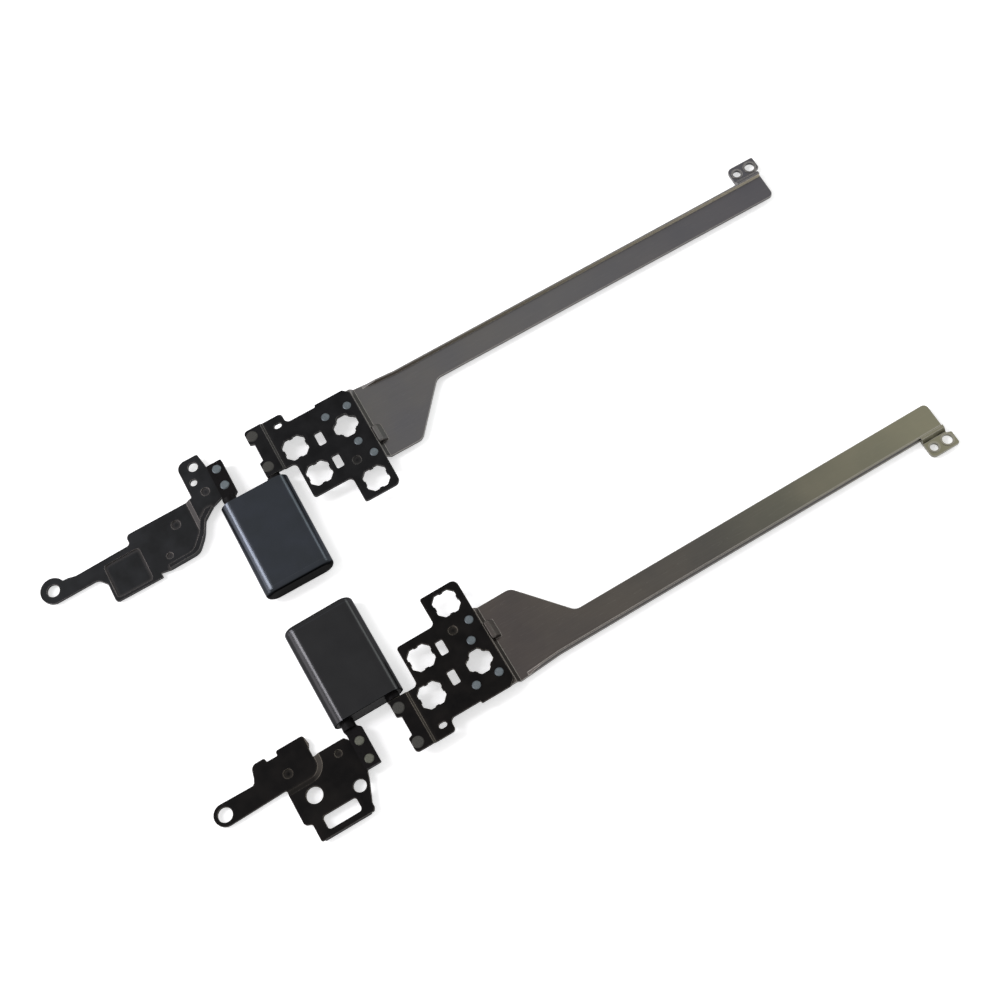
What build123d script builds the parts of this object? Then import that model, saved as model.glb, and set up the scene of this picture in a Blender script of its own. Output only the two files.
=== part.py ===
from build123d import *
import math
import os

# Pair of geared two-shaft hinges for a laptop whose lid turns right round, left and right hand.
# Each hinge is drawn in its own frame: X along the lid arm, Y from the flat tails towards the
# closed end of the cover, Z up, with the lid shaft on X = 0 and the cover's underside on Z = 0.
# The two frames are then laid side by side, and the origin is the bottom centre of the pair.

# Shafts and cover
shaft_spacing = 12.0          # base shaft to lid shaft, centre to centre
cover_height = 6.0            # over the oval section
cover_wall = 0.5
cover_length = 26.2
cover_start = 8.5             # from the middle of the lid tail's rivets to the open end
end_cap_thickness = 1.5
end_cap_plug = 2.0            # how far the cap reaches into the cover
cover_edge_round = 1.0        # round the cap's rim
neck_diameter = 3.4
spindle_diameter = 2.2        # turned down inside the cover
spindle_flat = 0.25           # depth of the two flats that key the stack
tail_thickness = 1.5
running_fit = 0.05            # radial, shafts in their plates
keyed_fit = 0.02              # radial, what turns with a shaft
seat_gap = 0.02               # round what stands still in the cover

# Stack inside the cover, in the order in which it stands on the shafts
end_plate_thickness = 1.2
mid_plate_thickness = 1.2
gear_length = 2.4
gear_side_play = 0.1
friction_plate_thickness = 0.6
friction_plate_count = 3
friction_washer_thickness = 0.5
friction_washer_diameter = 4.4
stack_play = 0.02
spring_washer_thickness = 0.35
spring_washer_cone = 0.25     # rise of one dished washer
spring_washer_count = 6
spring_washer_diameter = 4.3
nut_thickness = 1.8
nut_across_flats = 3.8
spindle_stub = 0.5            # spindle past its nut

# Synchronising gears: four alike in a row, so that both shafts turn alike and opposite
gear_module = 0.4
gear_teeth = 10
tooth_share = 0.36            # tooth width at the pitch circle, as a share of the pitch
tooth_rise = 0.3              # above the pitch circle
tooth_root = 0.42             # below it
idler_pin_diameter = 1.2

# Sheet
bracket_sheet = 0.8
arm_sheet = 0.8
min_round = 0.3

# Lid tail and its rivets
lid_tail_inner = 0.4          # past the lid shaft on the base's side
lid_tail_outer = 1.6          # past it on the lid's side
lid_tail_boss = 2.9           # round boss at each rivet
lid_rivet_pitch = 9.3
lid_rivet_head = 2.9
lid_rivet_shank = 2.0
lid_tail_shoulder = 6.4

# Base tail and its rivets
base_tail_inner = 1.4         # past the base shaft on the side of the base bracket
base_tail_outer = 2.6         # past it on the lid's side
base_tail_end = 3.8           # beyond the middle of the lid tail's rivets
base_tail_shoulder = 5.6      # where it starts to narrow to its neck
base_rivet_offset = 0.6
base_rivet_pitch = 4.8
base_rivet_middle = 0.5
base_rivet_head = 2.3
base_rivet_shank = 1.5
rivet_head_height = 0.2

# Lid bracket, black
strip_step = 0.4              # its panel lies this much lower than its strip
strip_step_run = 0.5          # length in which it falls
strip_waist = 0.4             # past the lid shaft between the rivets
strip_waist_half = 2.5        # half the waist's length
strip_left = 1.5              # past the lid shaft
strip_right = 3.1
strip_back = 6.7
strip_front = 7.0
panel_left = 6.3
panel_right = 26.3
panel_back = 3.7
ear_right = 8.9
ear_round = 1.0
lip_left = 16.9
lip_depth = 0.6
middle_lug_front = 17.5
end_lug_left = 16.6
end_lug_front = 24.9
lug_round = 1.6
inner_round = 1.2

# Holes of the lid bracket
star_size = 6.0
star_small = 5.7
star_tooth_depth = 0.25
star_tooth_width = 0.8
star_cut = 1.35                # off each corner
star_corner = 0.4
star_places = ((8.0, 3.4), (10.2, 12.4), (21.6, 20.8))
star_turned_place = (21.4, 4.6)
star_turn = 45.0              # degrees
slot_width = 1.9
slot_length = 3.7
slot_places = ((14.4, 4.4), (15.5, 12.0))
ear_slot_place = (6.8, -4.1)
ear_slot_width = 1.4
ear_slot_length = 2.0
arm_rivet_head = 2.1
arm_rivet_shank = 1.4
arm_rivet_places = ((24.0, 0.0), (18.0, 0.0), (22.2, 9.9), (24.2, 14.5))
dimple_place = (19.7, 14.2)
dimple_diameter = 2.2
dimple_depth = 0.3

# Lid arm, bare steel
arm_step = 1.4                # its plate lies this much lower than its riveted end
arm_step_run = 0.9
arm_step_gap = 0.2            # from the bracket's edge to the step
arm_end_left = 16.9
arm_plate_front = 16.7
arm_plate_right = 36.2
arm_strip_front = 4.1
arm_strip_start = 46.8
arm_back = 4.0                # at the riveted end
arm_strip_back = 3.2          # along the strip
arm_taper_end = 38.5
arm_length = 143.6            # lid shaft to the far end
arm_corner = 2.5
arm_flange = 0.9              # its upturned edge stands this much above the plate
arm_flange_width = 1.0
arm_flange_lean = 14.0        # degrees, of both its sides
flange_start = 29.5
window_play = 0.15            # clear round the turned star hole
gusset_middle = 10.1
gusset_width = 4.7
gusset_length = 2.6
gusset_rise = 0.35            # over the riveted end
gusset_round = 0.5

# Tab at the arm's far end
tab_length = 7.5
tab_past_end = 1.2            # the tab reaches this far past the arm's end
tab_back = 8.3
tab_drop = 0.4
tab_bead = 1.0                # width of the pressed bead across its root
tab_round = 1.3
tab_hole_large = 2.5
tab_hole_small = 2.0
tab_hole_places = ((-0.8, -6.1), (-4.5, -6.1))     # x from the arm's end
tab_collar_wall = 0.35
tab_collar_rise = 0.2

# Base brackets, black: what both share
base_step = 0.8               # their fingers lie this much lower than the riveted end
base_bracket_right = 2.2      # past the base shaft, under the tail

# Left base bracket, x from the base shaft
left_ring = (-47.9, 4.85)
left_ring_radius = 3.3
left_ring_bore = 3.2
left_finger_back = 3.8
left_finger_front = 8.1
left_pad_left = -35.4
left_pad_front = 15.6
left_pad_notch = -22.8
left_plate_back = 1.1
left_plate_left = -26.6
left_step_x = -9.4
left_step_run = 1.1
left_tab_left = -8.1
left_tab_back = -8.8
left_tab_round = 2.2
left_edge_front = 14.9
left_flange = 1.2
left_flange_width = 0.9
left_recess = (-34.6, 5.5, -25.0, 14.9)      # x and y of two corners
left_recess_depth = 0.4
left_holes = ((-4.4, -6.2, 2.5), (-6.0, -2.35, 1.8))
left_dimples = ((-14.5, 5.0, 2.4), (-19.1, 11.5, 1.7), (-4.4, 1.3, 2.2))

# Right base bracket, x from the base shaft
right_ring = (-34.3, 4.55)
right_ring_radius = 2.75
right_ring_bore = 3.6
right_finger_back = 2.2
right_finger_front = 7.1
right_knob = (-24.8, -20.5, 11.5)            # left, right and front
right_pad = (-17.6, -10.4, 11.6)
right_pad_gap_front = 10.4
right_notch_front = 5.8
right_plate_left = -19.5
right_plate_back = -7.4
right_frame_left = -17.8
right_frame_back = -12.6
right_frame_right = -4.2
right_neck_back = -4.6
right_flange = 1.0
right_window = (-15.1, -11.1, -6.4, -7.6)    # x and y of two corners
right_step_radius = 3.0
right_step_right = -10.4
right_step_back = 1.7
right_step_run = 1.3
right_holes = ((-14.3, -2.4, 4.0), (-4.3, -5.9, 3.1))
right_dimples = ((-17.4, 5.4, 2.3), (-5.1, 3.2, 1.8))

# How the two lie beside each other
lie_gap = 78.7                # between the middles of their lid tails
lie_shift = 0.3
lie_turn = 1.3                # degrees

# Levels and lengths that follow
axis_z = cover_height / 2
base_axis_x = -shaft_spacing
tail_top = axis_z + tail_thickness / 2
tail_bottom = axis_z - tail_thickness / 2
panel_top = tail_top + bracket_sheet - strip_step
panel_bottom = panel_top - bracket_sheet
arm_end_top = panel_bottom
arm_top = arm_end_top - arm_step
base_top = tail_bottom
finger_top = base_top - base_step
cover_end = cover_start + cover_length
cavity_height = cover_height - 2 * cover_wall
gear_start = cover_start + end_plate_thickness + gear_side_play
mid_plate_start = gear_start + gear_length + gear_side_play
pack_start = mid_plate_start + mid_plate_thickness + stack_play
pack_pitch = friction_washer_thickness + friction_plate_thickness + 2 * stack_play
spring_start = pack_start + friction_plate_count * pack_pitch + friction_washer_thickness + stack_play
spring_pitch = spring_washer_thickness + spring_washer_cone + stack_play
nut_start = spring_start + spring_washer_count * spring_pitch
spindle_end = nut_start + nut_thickness + spindle_stub


def outline(corners):
    """Closed face from corners (x, y, radius), each radius limited by its two sides."""
    count = len(corners)
    starts, ends, edges = [], [], []
    for i in range(count):
        here = Vector(corners[i][0], corners[i][1])
        before = Vector(*corners[i - 1][:2]) - here
        after = Vector(*corners[(i + 1) % count][:2]) - here
        half = before.get_angle(after) / 2
        reach = corners[i][2] / math.tan(math.radians(half)) if corners[i][2] else 0
        reach = min(reach, 0.48 * before.length, 0.48 * after.length)
        starts.append(here + before.normalized() * reach)
        ends.append(here + after.normalized() * reach)
        if reach > 1e-6:
            radius = reach * math.tan(math.radians(half))
            inward = (before.normalized() + after.normalized()).normalized()
            centre = here + inward * (radius / math.sin(math.radians(half)))
            edges.append(ThreePointArc(starts[i], centre - inward * radius, ends[i]))
    for i in range(count):
        edges.append(Line(ends[i - 1], starts[i]))
    return make_face(Wire(edges))


def sheet(corners, bottom, thickness):
    return extrude(Pos(0, 0, bottom) * outline(corners), thickness)


def rod(x, start, end, radius):
    """Round bar along Y between two stations."""
    middle = (start + end) / 2
    return Pos(x, middle, axis_z) * Rot(90, 0, 0) * Cylinder(radius, end - start)


def keyed_bar(x, start, end, fit):
    """Spindle section with its two flats, or with a fit the hole that it keys."""
    radius = spindle_diameter / 2 + fit
    across = spindle_diameter - 2 * spindle_flat + 2 * fit
    middle = (start + end) / 2
    return rod(x, start, end, radius) & Pos(x, middle, axis_z) * Box(4 * radius, end - start, across)


def oval(start, end, height, grow=0.0):
    """Bar of oval section round both shafts, height tall, widened by grow all round."""
    radius = height / 2 + grow
    length = end - start
    middle = Pos(base_axis_x / 2, (start + end) / 2, axis_z)
    bar = middle * Box(shaft_spacing, length, 2 * radius)
    return bar + rod(0, start, end, radius) + rod(base_axis_x, start, end, radius)


def drill(places, diameter, bottom, top):
    tools = [Pos(x, y, (bottom + top) / 2) * Cylinder(diameter / 2, top - bottom) for x, y in places]
    return Part() + tools


def area(left, back, right, front):
    return outline([(left, back, 0), (right, back, 0), (right, front, 0), (left, front, 0)])


def plug(face, bottom, height, run):
    """Block that stands on a face and widens upwards by the run of a pressed step."""
    lean = math.degrees(math.atan2(run, height))
    return extrude(Pos(0, 0, bottom) * face, height, taper=-lean)


def pressed(full, low, top, drop, thickness, run):
    """Sheet of outline full with its upper face at top, pressed down by drop over the area low."""
    bottom = top - thickness
    hollow = plug(low, bottom - drop, drop, run) & extrude(Pos(0, 0, bottom - drop) * full, drop)
    return extrude(Pos(0, 0, bottom) * full, thickness) + hollow - plug(low, top - drop, drop, run)


def cut_square(size):
    """Square whose corners are cut off, with a small round at each end of the cut."""
    half, near = size / 2, size / 2 - star_cut
    return outline([(half, -near, star_corner), (half, near, star_corner), (near, half, star_corner),
                    (-near, half, star_corner), (-half, near, star_corner), (-half, -near, star_corner),
                    (-near, -half, star_corner), (near, -half, star_corner)])


def star_hole(place, size, turn, bottom, top):
    """Square hole with cut corners and a low tooth left standing in the middle of each side."""
    reach, foot = star_tooth_width / 2, star_tooth_width / 2 + star_tooth_depth
    tooth = outline([(-foot, star_tooth_depth, 0), (-foot, 0, 0), (-reach, -star_tooth_depth, 0),
                     (reach, -star_tooth_depth, 0), (foot, 0, 0), (foot, star_tooth_depth, 0)])
    teeth = [Rot(0, 0, 90 * side) * Pos(0, size / 2, 0) * tooth for side in range(4)]
    shape = cut_square(size) - teeth
    return extrude(Pos(place[0], place[1], bottom) * Rot(0, 0, turn) * shape, top - bottom)


# Inside the cover

def make_cover():
    tube_end = cover_end - end_cap_thickness
    return oval(cover_start, tube_end, cover_height) - oval(cover_start, tube_end, cavity_height)


def make_end_cap():
    """Cap of the closed end, with a plug that sits in the cover's mouth."""
    start = cover_end - end_cap_thickness
    cap = oval(start, cover_end, cover_height)
    rim = cap.edges().filter_by(lambda edge: edge.center().Y > cover_end - 0.001)
    cap = fillet(rim, min(cover_edge_round, end_cap_thickness * 0.8))
    mouth = oval(start - end_cap_plug, start, cavity_height, -seat_gap)
    return cap + mouth - oval(start - end_cap_plug, start, cavity_height, -seat_gap - 2 * cover_wall)


def fixed_plate(start, thickness, shaft_bore):
    """Plate that fills the cover's section and carries both shafts and both idlers."""
    plate = oval(start, start + thickness, cavity_height, -seat_gap)
    for x in (0, base_axis_x):
        plate -= rod(x, start, start + thickness, shaft_bore / 2 + running_fit)
    return plate


def idler_places():
    pitch = shaft_spacing / 3
    return (-pitch, -2 * pitch)


def make_end_plate():
    plate = fixed_plate(cover_start, end_plate_thickness, neck_diameter)
    for x in idler_places():
        plate -= rod(x, cover_start + end_plate_thickness / 3, gear_start,
                     idler_pin_diameter / 2 + running_fit)
    return plate


def make_mid_plate():
    plate = fixed_plate(mid_plate_start, mid_plate_thickness, spindle_diameter)
    for x in idler_places():
        plate -= rod(x, mid_plate_start, mid_plate_start + mid_plate_thickness,
                     idler_pin_diameter / 2 + running_fit)
    return plate


def make_friction_plates():
    plates = []
    for i in range(friction_plate_count):
        start = pack_start + i * pack_pitch + friction_washer_thickness + stack_play
        plates.append(fixed_plate(start, friction_plate_thickness, spindle_diameter))
    return plates


def gear_blank(x, turned):
    """Spur gear on the line of shafts; turned sets a gap instead of a tooth on the line."""
    pitch_radius = gear_module * gear_teeth / 2
    step = 2 * math.pi / gear_teeth
    half_pitch = tooth_share * step / 2
    root = pitch_radius - tooth_root
    tip = pitch_radius + tooth_rise
    phase = step / 2 if turned else 0
    points = []
    for i in range(gear_teeth):
        middle = phase + i * step
        for angle, radius in ((-1.45 * half_pitch, root), (-0.6 * half_pitch, tip),
                              (0.6 * half_pitch, tip), (1.45 * half_pitch, root)):
            points.append((radius * math.cos(middle + angle), radius * math.sin(middle + angle)))
    face = make_face(Wire(Polyline(*points, close=True).edges()))
    standing = Plane(origin=(x, gear_start, axis_z), x_dir=(1, 0, 0), z_dir=(0, 1, 0))
    return extrude(standing * face, gear_length)


def make_shaft_gear(x, turned):
    return gear_blank(x, turned) - keyed_bar(x, gear_start, gear_start + gear_length, keyed_fit)


def make_idler(x, turned):
    """Idler with its two pins in one piece."""
    front = cover_start + end_plate_thickness / 3 + gear_side_play
    back = mid_plate_start + mid_plate_thickness
    return gear_blank(x, turned) + rod(x, front, back, idler_pin_diameter / 2)


def spindle(x, start):
    """Neck in the end plate, then the keyed spindle that carries gear, washers and nut."""
    neck = rod(x, start, gear_start, neck_diameter / 2)
    return neck + keyed_bar(x, gear_start, spindle_end, 0)


def make_friction_washers(x):
    washers = []
    for i in range(friction_plate_count + 1):
        start = pack_start + i * pack_pitch
        end = start + friction_washer_thickness
        washer = rod(x, start, end, friction_washer_diameter / 2) - keyed_bar(x, start, end, keyed_fit)
        washers.append(washer)
    return washers


def make_spring_washers(x):
    """Dished washers in pairs, back to back."""
    washers = []
    outer = spring_washer_diameter / 2
    inner = spindle_diameter / 2 + running_fit
    for i in range(spring_washer_count):
        start = spring_start + i * spring_pitch
        rise = spring_washer_cone if i % 2 else -spring_washer_cone
        foot = start if i % 2 else start + spring_washer_cone
        section = Polyline((inner, foot), (outer, foot + rise),
                           (outer, foot + rise + spring_washer_thickness),
                           (inner, foot + spring_washer_thickness), close=True)
        face = make_face(Wire(section.edges()))
        washers.append(Pos(x, 0, axis_z) * revolve(face, Axis.Y))
    return washers


def make_nut(x):
    hexagon = RegularPolygon(nut_across_flats / 2, 6, major_radius=False)
    standing = Plane(origin=(x, nut_start, axis_z), x_dir=(1, 0, 0), z_dir=(0, 1, 0))
    nut = extrude(standing * hexagon, nut_thickness)
    return nut - keyed_bar(x, nut_start, nut_start + nut_thickness, keyed_fit)


# Shafts with their flat tails

def lid_rivet_places():
    return ((0, -lid_rivet_pitch / 2), (0, lid_rivet_pitch / 2))


def base_rivet_places(shaft_x):
    x = shaft_x + base_rivet_offset
    return tuple((x, base_rivet_middle + side * base_rivet_pitch / 2) for side in (-1, 1))


def flat_of_neck(x, right, left, shoulder):
    """The tail narrows to the width of the neck and runs a little way into it."""
    half = neck_diameter / 2
    return [(x - left, shoulder - 1, 0), (x + right, shoulder - 1, 0),
            (x + right, shoulder, 0.3), (x + half, shoulder + 0.8, 0), (x + half, shoulder + 1.4, 0),
            (x - half, shoulder + 1.4, 0), (x - half, shoulder + 0.8, 0), (x - left, shoulder, 0.3)]


def make_lid_shaft():
    back = -lid_rivet_pitch / 2
    front = lid_tail_shoulder
    left, right = -lid_tail_inner, lid_tail_outer
    tail = sheet([(left, back, 0), (right, back, 0), (right, front, 0), (left, front, 0)],
                 tail_bottom, tail_thickness)
    tail += drill(lid_rivet_places(), lid_tail_boss, tail_bottom, tail_top)
    tail += sheet(flat_of_neck(0, right, -left, front), tail_bottom, tail_thickness)
    tail -= drill(lid_rivet_places(), lid_rivet_shank + 2 * keyed_fit, tail_bottom, tail_top)
    return tail + spindle(0, front + 0.8)


def make_base_shaft():
    left = base_axis_x - base_tail_inner
    right = base_axis_x + base_tail_outer
    front = base_tail_shoulder
    tail = sheet([(left, -base_tail_end, min_round), (right, -base_tail_end, min_round),
                  (right, front, 0), (left, front, 0)], tail_bottom, tail_thickness)
    tail += sheet(flat_of_neck(base_axis_x, base_tail_outer, base_tail_inner, front),
                  tail_bottom, tail_thickness)
    places = base_rivet_places(base_axis_x)
    tail -= drill(places, base_rivet_shank + 2 * keyed_fit, tail_bottom, tail_top)
    return tail + spindle(base_axis_x, front + 0.8)


def rivet(place, shank, head, bottom, top):
    """Shank with a low domed head on each side of what it holds."""
    x, y = place
    rise = rivet_head_height
    section = Polyline((0, bottom - rise), (head / 2 - rise, bottom - rise), (head / 2, bottom),
                       (shank / 2, bottom), (shank / 2, top), (head / 2, top),
                       (head / 2 - rise, top + rise), (0, top + rise), close=True)
    standing = Plane(origin=(0, 0, 0), x_dir=(1, 0, 0), z_dir=(0, -1, 0))
    return Pos(x, y, 0) * revolve(standing * make_face(Wire(section.edges())), Axis.Z)


def make_lid_tail_rivets():
    return [rivet(p, lid_rivet_shank, lid_rivet_head, tail_bottom, tail_top + bracket_sheet)
            for p in lid_rivet_places()]


def make_base_tail_rivets():
    return [rivet(p, base_rivet_shank, base_rivet_head, base_top - bracket_sheet, tail_top)
            for p in base_rivet_places(base_axis_x)]


def make_arm_rivets():
    return [rivet(p, arm_rivet_shank, arm_rivet_head, arm_end_top - arm_sheet, panel_top)
            for p in arm_rivet_places]


# Lid bracket

def make_lid_bracket():
    full = outline([
        (-strip_left, -strip_back, 1.0), (ear_right, -strip_back, ear_round),
        (ear_right, -panel_back, inner_round), (lip_left, -panel_back, 0.2),
        (lip_left + 0.2, -panel_back - lip_depth, 0.2),
        (panel_right - 1.6, -panel_back - lip_depth, 0.3), (panel_right, -panel_back + 0.9, 0.3),
        (panel_right, end_lug_front, lug_round), (end_lug_left, end_lug_front, 0.6),
        (end_lug_left, middle_lug_front, inner_round), (panel_left, middle_lug_front, 0.8),
        (panel_left, strip_front, inner_round), (-strip_left, strip_front, min_round),
        (-strip_left, strip_waist_half + 0.4, 0.4), (-strip_waist, strip_waist_half, 0.3),
        (-strip_waist, -strip_waist_half, 0.3), (-strip_left, -strip_waist_half - 0.4, 0.4)])
    top = tail_top + bracket_sheet
    low = area(strip_right + strip_step_run, -2 * strip_back, 2 * panel_right, 2 * end_lug_front)
    bracket = pressed(full, low, top, strip_step, bracket_sheet, strip_step_run)
    under, over = panel_bottom - 1, top + 1
    for place in star_places:
        bracket -= star_hole(place, star_size, 0, under, over)
    bracket -= star_hole(star_turned_place, star_small, star_turn, under, over)
    for x, y in slot_places:
        slot = outline([(x + sx * slot_width / 2, y + sy * slot_length / 2, 0.4)
                        for sx, sy in ((-1, -1), (1, -1), (1, 1), (-1, 1))])
        bracket -= extrude(Pos(0, 0, under) * slot, over - under)
    ear_slot = SlotOverall(ear_slot_length, ear_slot_width)
    bracket -= extrude(Pos(ear_slot_place[0], ear_slot_place[1], under) * ear_slot, over - under)
    bracket -= drill(arm_rivet_places, arm_rivet_shank + 2 * keyed_fit, under, over)
    bracket -= drill(lid_rivet_places(), lid_rivet_shank + 2 * keyed_fit, under, over)
    return bracket - drill([dimple_place], dimple_diameter, panel_top - dimple_depth, over)


# Lid arm

def make_arm():
    step_start = panel_right + arm_step_gap
    full = outline([
        (arm_end_left, -arm_back, 0.5), (step_start + arm_step_run, -arm_back, 0),
        (arm_taper_end, -arm_strip_back, 4), (arm_length, -arm_strip_back, 0),
        (arm_length, arm_strip_front, arm_corner / 2), (arm_strip_start, arm_strip_front, arm_corner),
        (arm_plate_right, arm_plate_front, arm_corner), (arm_end_left, arm_plate_front, 1.0)])
    low = area(step_start + arm_step_run, -9 * arm_back, 2 * arm_length, 9 * arm_back)
    arm = pressed(full, low, arm_end_top, arm_step, arm_sheet, arm_step_run)
    arm = arm + upturned_edge() + end_tab() + gusset(step_start)
    hole = cut_square(star_small + 2 * window_play)
    x, y = star_turned_place
    bottom = arm_top - arm_sheet
    arm -= extrude(Pos(x, y, bottom) * Rot(0, 0, star_turn) * hole, 2 * arm_step)
    arm -= drill(arm_rivet_places, arm_rivet_shank + 2 * keyed_fit, bottom, arm_end_top)
    for (x, y), bore in zip(tab_hole_places, (tab_hole_large, tab_hole_small)):
        arm -= drill([(arm_length + x, y)], bore, bottom - 1, arm_top + 1)
    return arm


def upturned_edge():
    """Edge pressed up along the outer side, rising out of the plate where the arm tapers."""
    start = flange_start
    rise_end = start + 4 * arm_flange
    width = arm_flange_width
    line = [(start, -back_line(start), 0), (arm_taper_end, -arm_strip_back, 4),
            (arm_length, -arm_strip_back, 0)]
    inner = [(x, y + width, radius) for x, y, radius in line]
    foot = extrude(Pos(0, 0, arm_top - arm_sheet / 2) * outline(line + inner[::-1]),
                   arm_sheet / 2 + arm_flange, taper=arm_flange_lean)
    side = make_face(Wire(Polyline(
        (start, 0), (arm_length, 0), (arm_length, arm_top + arm_flange),
        (rise_end, arm_top + arm_flange), (start, arm_top), close=True).edges()))
    standing = Plane(origin=(0, arm_back, 0), x_dir=(1, 0, 0), z_dir=(0, -1, 0))
    return foot & extrude(standing * side, 3 * arm_back)


def back_line(x):
    """How far out the arm's outer side lies between its riveted end and its strip."""
    start = panel_right + arm_step_gap + arm_step_run
    share = min(max((x - start) / (arm_taper_end - start), 0), 1)
    return arm_back - share * (arm_back - arm_strip_back)


def end_tab():
    """Tab beyond the upturned edge: a bead falls from the edge to the tab's lower level."""
    top = arm_top - tab_drop
    tab_right = arm_length + tab_past_end
    tab_left = tab_right - tab_length
    root = -arm_strip_back - tab_bead
    crest = arm_top + arm_flange
    section = make_face(Wire(Polyline(
        (-arm_strip_back + arm_flange_width / 2, top - arm_sheet),
        (-arm_strip_back + arm_flange_width / 2, crest),
        (-arm_strip_back - tab_bead / 4, crest - 0.1), (root, top), (root, top - arm_sheet),
        close=True).edges()))
    across = Plane(origin=(tab_left, 0, 0), x_dir=(0, 1, 0), z_dir=(1, 0, 0))
    bead = extrude(across * section, arm_length - tab_left)
    tab = sheet([(tab_left, -tab_back, tab_round), (tab_right, -tab_back, 0.5),
                 (tab_right, root - 0.7, 0.4), (arm_length, root - 0.3, 0),
                 (arm_length, -arm_strip_back, 0), (tab_left, -arm_strip_back, 0)],
                top - arm_sheet, arm_sheet)
    for (x, y), bore in zip(tab_hole_places, (tab_hole_large, tab_hole_small)):
        tab += drill([(arm_length + x, y)], bore + 2 * tab_collar_wall, top - 0.1, top + tab_collar_rise)
    return bead + tab


def gusset(step_start):
    """Rounded dart pressed across the step to stiffen it."""
    low = arm_top - arm_sheet / 2
    start = step_start - arm_step_gap / 2
    side = make_face(Wire(Polyline(
        (start, low), (start + gusset_length, low), (start + gusset_length, arm_top + gusset_rise),
        (start + gusset_length / 2, arm_end_top + gusset_rise), (start, arm_end_top + gusset_rise),
        close=True).edges()))
    standing = Plane(origin=(0, gusset_middle + gusset_width / 2, 0), x_dir=(1, 0, 0), z_dir=(0, -1, 0))
    dart = extrude(standing * side, gusset_width)
    ridge = dart.edges().filter_by(lambda edge: edge.center().Z > arm_top)
    return fillet(ridge, gusset_round)


# Base brackets

def turned_band(full, shift_x, shift_y, zone, bottom, height):
    """Narrow upright edge along one side of an outline, inside the zone."""
    band = (full & zone) - Pos(shift_x, shift_y, 0) * full
    return extrude(Pos(0, 0, bottom) * band, height)


def make_base_bracket(full, low, run, ring, ring_radius, ring_bore, holes, dimples, low_edge):
    """What both base brackets share: pressed sheet, ring at the finger's end, holes and dimples."""
    bracket = pressed(full, low, base_top, base_step, bracket_sheet, run)
    bracket += drill([ring], 2 * ring_radius, finger_top - bracket_sheet, finger_top)
    under, over = finger_top - 2 * bracket_sheet, base_top + 2 * bracket_sheet
    bracket -= drill([ring], ring_bore, under, over)
    for x, y, diameter in holes:
        bracket -= drill([(x, y)], diameter, under, over)
    for x, y, diameter in dimples:
        level = base_top if x > low_edge else finger_top
        bracket -= drill([(x, y)], diameter, level - dimple_depth, level)
    return bracket - drill(base_rivet_places(0), base_rivet_shank + 2 * keyed_fit, under, over)


def make_left_base_bracket():
    tail_left = -base_tail_inner
    full = outline([
        (left_ring[0], left_finger_back - 0.3, 0),
        (left_ring[0] + left_ring_radius + 1.2, left_finger_back - 0.1, 1.0),
        (left_ring[0] + left_ring_radius + 3.0, left_finger_back + 0.4, 1.0),
        (left_plate_left, left_finger_back, 0.8),
        (left_plate_left, left_plate_back, 1.2), (left_tab_left, left_plate_back, 0.5),
        (left_tab_left, left_tab_back, left_tab_round), (tail_left - 0.7, left_tab_back, 0.6),
        (tail_left + 0.1, -base_tail_end + 0.2, 0.5), (base_bracket_right, -base_tail_end + 0.2, min_round),
        (base_bracket_right, base_tail_shoulder - 1.2, min_round),
        (tail_left, base_tail_shoulder - 0.8, 0.4), (left_step_x + 4.4, 6.1, 2.0),
        (left_step_x + 1.8, 8.1, 1.5), (left_step_x + 0.2, left_edge_front - 3.7, 2.0),
        (left_step_x - 3.0, left_edge_front - 0.2, 3.0),
        (left_pad_notch + 2.6, left_edge_front, 0.3), (left_pad_notch, left_edge_front - 0.5, 0),
        (left_pad_notch, left_pad_front, 0.2), (left_pad_left, left_pad_front, 0.8),
        (left_pad_left, left_finger_front + 2.2, 0.8), (left_pad_left - 1.8, left_finger_front - 0.1, 2.0),
        (left_ring[0], left_ring[1] + left_ring_radius, 0)])
    low = area(2 * left_ring[0], -left_pad_front, left_step_x - left_step_run / 2, 2 * left_pad_front)
    bracket = make_base_bracket(full, low, left_step_run, left_ring, left_ring_radius, left_ring_bore,
                                left_holes, left_dimples, left_step_x)
    zone = area(left_pad_notch + 2.6, base_tail_shoulder, left_step_x + 4.8, left_pad_front)
    bracket += turned_band(full, -left_flange_width, -left_flange_width, zone,
                           finger_top - bracket_sheet / 2, bracket_sheet / 2 + left_flange)
    x0, y0, x1, y1 = left_recess
    pad = outline([(x0, y0, 1.0), (x1, y0, 1.0), (x1, y1, 1.0), (x0, y1, 1.0)])
    return Pos(base_axis_x, 0, 0) * (
        bracket - extrude(Pos(0, 0, finger_top - left_recess_depth) * pad, left_recess_depth))


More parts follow.
